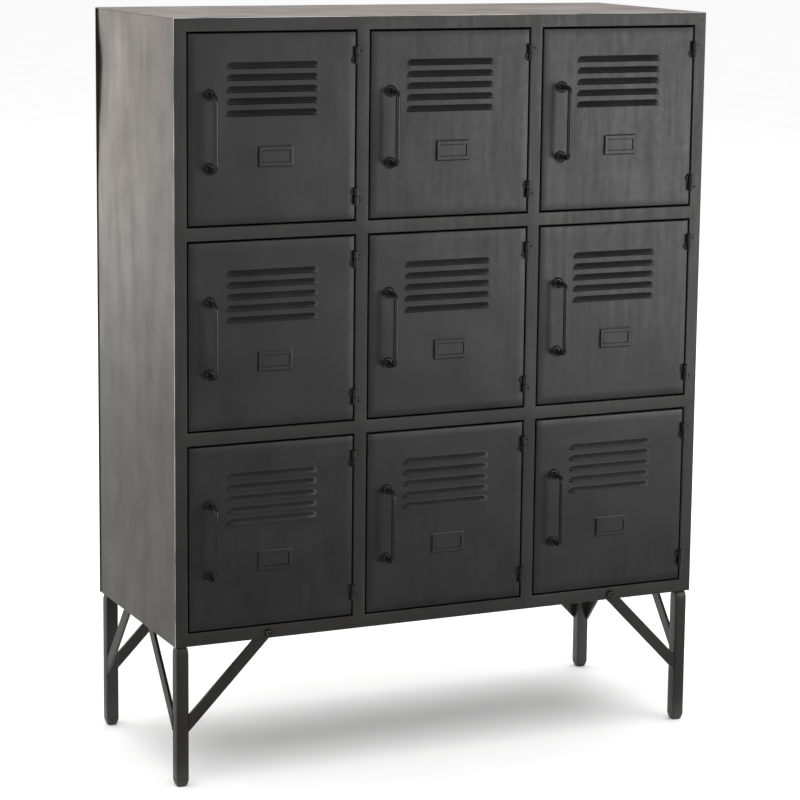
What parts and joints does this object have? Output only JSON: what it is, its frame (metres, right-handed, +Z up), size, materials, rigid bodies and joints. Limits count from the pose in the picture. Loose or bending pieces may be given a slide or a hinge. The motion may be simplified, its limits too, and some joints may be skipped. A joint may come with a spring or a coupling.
{
  "type": "steel locker cabinet",
  "caption": "Tall black steel locker cabinet: a casing on braced legs, its front a grid of hinged doors with louvres, D pulls and card holders.",
  "frame": {"origin": "on the floor, under the middle of the whole cabinet with its pulls and rear bolt heads", "axes": "+Z up, +X to the right seen from the front, +Y from the doors to the back"},
  "size_m": [1, 0.4386, 1.3],
  "materials": {
    "frame_paint": "satin black paint over steel",
    "door_paint": "satin black paint over sheet steel",
    "casing_paint": "satin black paint over sheet steel, rubbed",
    "handle_paint": "semi-gloss black paint over round steel rod",
    "bolt_steel": "black oxide steel",
    "foot_plastic": "moulded black plastic"
  },
  "bodies": {
    "cabinet": {"front_frame": "frame_paint", "side_panel_left": "casing_paint", "side_panel_right": "casing_paint", "back_panel": "casing_paint", "top_panel": "casing_paint", "bottom_panel": "casing_paint", "shelf_lower": "casing_paint", "shelf_upper": "casing_paint", "divider_left": "casing_paint", "divider_right": "casing_paint", "leg_front_left": "frame_paint", "width_brace_front_left": "frame_paint", "depth_brace_front_left": "frame_paint", "foot_front_left": "foot_plastic", "leg_bolt_front_left": "bolt_steel", "leg_front_right": "frame_paint", "width_brace_front_right": "frame_paint", "depth_brace_front_right": "frame_paint", "foot_front_right": "foot_plastic", "leg_bolt_front_right": "bolt_steel", "leg_back_left": "frame_paint", "width_brace_back_left": "frame_paint", "depth_brace_back_left": "frame_paint", "foot_back_left": "foot_plastic", "leg_bolt_back_left": "bolt_steel", "leg_back_right": "frame_paint", "width_brace_back_right": "frame_paint", "depth_brace_back_right": "frame_paint", "foot_back_right": "foot_plastic", "leg_bolt_back_right": "bolt_steel"},
    "locker_bottom_left": {"door_bottom_left": "door_paint", "handle_bottom_left": "handle_paint", "card_holder_bottom_left": "door_paint"},
    "locker_bottom_centre": {"door_bottom_centre": "door_paint", "handle_bottom_centre": "handle_paint", "card_holder_bottom_centre": "door_paint"},
    "locker_bottom_right": {"door_bottom_right": "door_paint", "handle_bottom_right": "handle_paint", "card_holder_bottom_right": "door_paint"},
    "locker_middle_left": {"door_middle_left": "door_paint", "handle_middle_left": "handle_paint", "card_holder_middle_left": "door_paint"},
    "locker_middle_centre": {"door_middle_centre": "door_paint", "handle_middle_centre": "handle_paint", "card_holder_middle_centre": "door_paint"},
    "locker_middle_right": {"door_middle_right": "door_paint", "handle_middle_right": "handle_paint", "card_holder_middle_right": "door_paint"},
    "locker_top_left": {"door_top_left": "door_paint", "handle_top_left": "handle_paint", "card_holder_top_left": "door_paint"},
    "locker_top_centre": {"door_top_centre": "door_paint", "handle_top_centre": "handle_paint", "card_holder_top_centre": "door_paint"},
    "locker_top_right": {"door_top_right": "door_paint", "handle_top_right": "handle_paint", "card_holder_top_right": "door_paint"}
  },
  "joints": [
    {"name": "hinge_bottom_left", "type": "hinge", "parent": "cabinet", "child": "locker_bottom_left", "pos_m": [-0.17558, -0.18915, 0.42933], "axis": [0, 0, 1], "range_deg": [0, 110]},
    {"name": "hinge_bottom_centre", "type": "hinge", "parent": "cabinet", "child": "locker_bottom_centre", "pos_m": [0.15008, -0.18915, 0.42933], "axis": [0, 0, 1], "range_deg": [0, 110]},
    {"name": "hinge_bottom_right", "type": "hinge", "parent": "cabinet", "child": "locker_bottom_right", "pos_m": [0.47575, -0.18915, 0.42933], "axis": [0, 0, 1], "range_deg": [0, 110]},
    {"name": "hinge_middle_left", "type": "hinge", "parent": "cabinet", "child": "locker_middle_left", "pos_m": [-0.17558, -0.18915, 0.773], "axis": [0, 0, 1], "range_deg": [0, 110]},
    {"name": "hinge_middle_centre", "type": "hinge", "parent": "cabinet", "child": "locker_middle_centre", "pos_m": [0.15008, -0.18915, 0.773], "axis": [0, 0, 1], "range_deg": [0, 110]},
    {"name": "hinge_middle_right", "type": "hinge", "parent": "cabinet", "child": "locker_middle_right", "pos_m": [0.47575, -0.18915, 0.773], "axis": [0, 0, 1], "range_deg": [0, 110]},
    {"name": "hinge_top_left", "type": "hinge", "parent": "cabinet", "child": "locker_top_left", "pos_m": [-0.17558, -0.18915, 1.11667], "axis": [0, 0, 1], "range_deg": [0, 110]},
    {"name": "hinge_top_centre", "type": "hinge", "parent": "cabinet", "child": "locker_top_centre", "pos_m": [0.15008, -0.18915, 1.11667], "axis": [0, 0, 1], "range_deg": [0, 110]},
    {"name": "hinge_top_right", "type": "hinge", "parent": "cabinet", "child": "locker_top_right", "pos_m": [0.47575, -0.18915, 1.11667], "axis": [0, 0, 1], "range_deg": [0, 110]}
  ]
}
